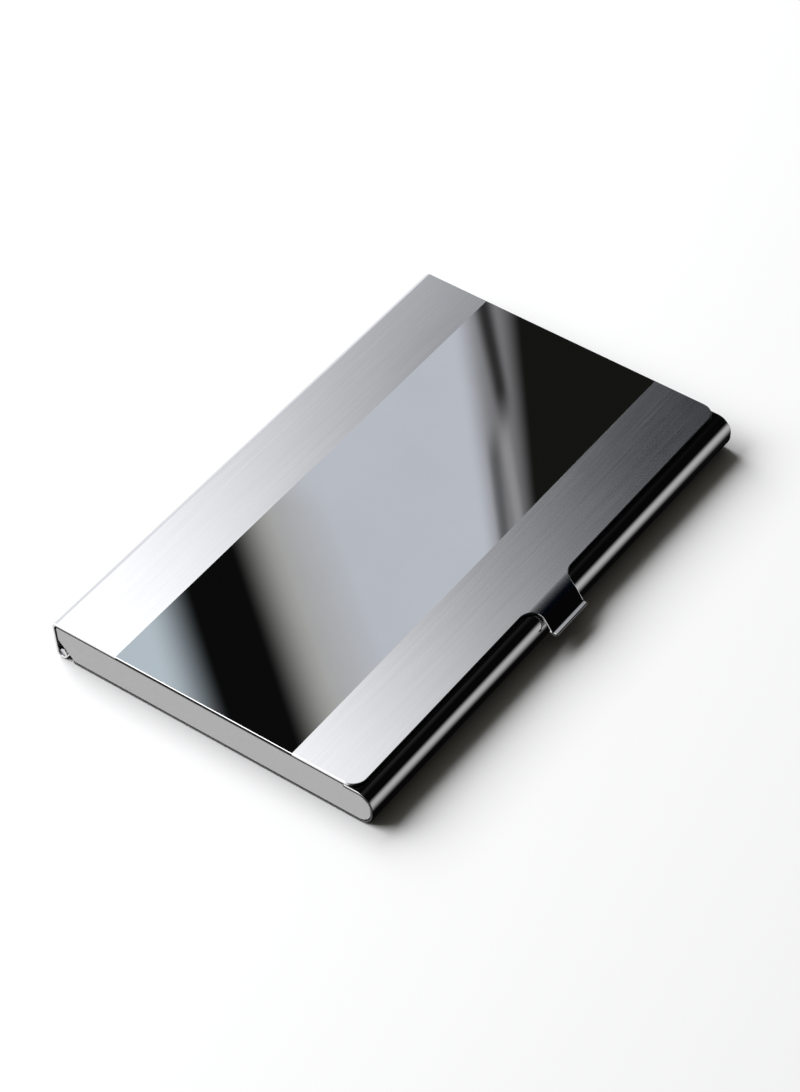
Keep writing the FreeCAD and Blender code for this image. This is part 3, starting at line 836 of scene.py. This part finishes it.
def _mirrored(n, x, y, ahead, up, room):
    """The studio as polished steel shows it: walls, a dark upright and a framed doorway."""
    # A dark upright between two pale walls, low on the left of the lid.
    bar = n.math("MULTIPLY_ADD", y, -0.82, x)
    wall = n.mix(n.rescale(bar, -25, -12), WARM_WALL, PALE_WALL)
    left = n.mix(n.rescale(bar, -53.5, -43, kind="SMOOTHSTEP"), BLUE_WALL, NIGHT)
    left = n.mix(n.rescale(bar, -33.5, -23.5, kind="SMOOTHSTEP"), left, wall)
    # The room beyond it on the right, seen through a thin dark frame.
    start = n.math("MULTIPLY_ADD", y, 1.18, 20.0)
    width = n.math("MULTIPLY_ADD", y, 0.10, 12.4)
    q = n.math("DIVIDE", n.math("SUBTRACT", x, start), width)
    right = n.mix(n.rescale(q, -0.22, 0.38, kind="SMOOTHSTEP"), PALE_WALL, GREY_ROOM)
    right = n.mix(n.rescale(q, 0.60, 1.06, kind="SMOOTHSTEP"), right, ROOM_DARK)
    below = n.rescale(y, -5, 1, 1, 0, "SMOOTHSTEP")
    low_streak = n.math("MULTIPLY", _bump(n, q, 0.26, 0.20), below)
    middle = n.math("MULTIPLY_ADD", y, -0.010, 0.57)
    high_streak = n.math("MULTIPLY", _bump(n, q, middle, 0.24), n.rescale(y, -3, 4, 0, 1, "SMOOTHSTEP"))
    glow = n.math("MULTIPLY", _bump(n, q, n.math("MULTIPLY_ADD", y, -0.007, 0.50), 0.18), below)
    right = n.mix(glow, right, GLOW)
    streaks = n.math("ADD", n.math("MULTIPLY", low_streak, 0.52), n.math("MULTIPLY", high_streak, 0.90))
    right = n.mix(streaks, right, STREAK)
    centre = n.mix(n.rescale(x, -8, 2, kind="SMOOTHSTEP"), left, right)

    # Away from the lid's own view the same studio is plainer.
    inside = n.math(
        "MULTIPLY",
        n.rescale(n.math("ABSOLUTE", y), 25, 80, 1, 0, "SMOOTHSTEP"),
        n.rescale(n.math("ABSOLUTE", x), 60, 120, 1, 0, "SMOOTHSTEP"),
    )
    plain = n.mix(inside, room, centre)
    before = n.math("MULTIPLY", n.rescale(y, -19, -16.5, 1, 0), n.rescale(y, -220, -160, 0.8, 1.0))
    plain = n.mix(before, plain, NIGHT)
    # The front is dark, with a pale strip along the horizon that the nose shows as one bright line.
    rise = n.rescale(up, -0.72, -0.08, kind="SMOOTHSTEP")
    fall = n.rescale(up, 0.02, 0.42, 1, 0, "SMOOTHSTEP")
    low = n.mix(n.math("MULTIPLY", rise, fall), NIGHT, HORIZON)
    steep = n.math("MINIMUM", n.math("ADD", up, 0.35), 0.0)
    facing = n.math("MULTIPLY_ADD", steep, 2.0, ahead)
    return n.mix(n.rescale(facing, -0.35, -0.15, 1, 0, "SMOOTHSTEP"), plain, low)


def _bump(n, value, middle, half_width):
    """1 at the middle, falling smoothly to 0 at half a width to each side."""
    off = n.math("ABSOLUTE", n.math("SUBTRACT", value, middle))
    return n.rescale(off, 0.0, half_width, 1, 0, "SMOOTHERSTEP")


def build_lamp():
    """The window light from the rear left, which casts the short soft shadow."""
    data = bpy.data.lights.new("window", "AREA")
    data.shape = "RECTANGLE"
    data.size, data.size_y = LAMP_SIZE
    data.energy = LAMP_WATTS
    data.color = (0.985, 0.99, 1.0)
    lamp = bpy.data.objects.new("window", data)
    lamp.location = LAMP_AT
    lamp.rotation_euler = (-LAMP_AT).to_track_quat("-Z", "Y").to_euler()
    lamp.visible_glossy = False
    bpy.context.scene.collection.objects.link(lamp)


build_camera()
build_table()
build_world()
build_lamp()
bpy.context.scene.view_settings.view_transform = "Standard"
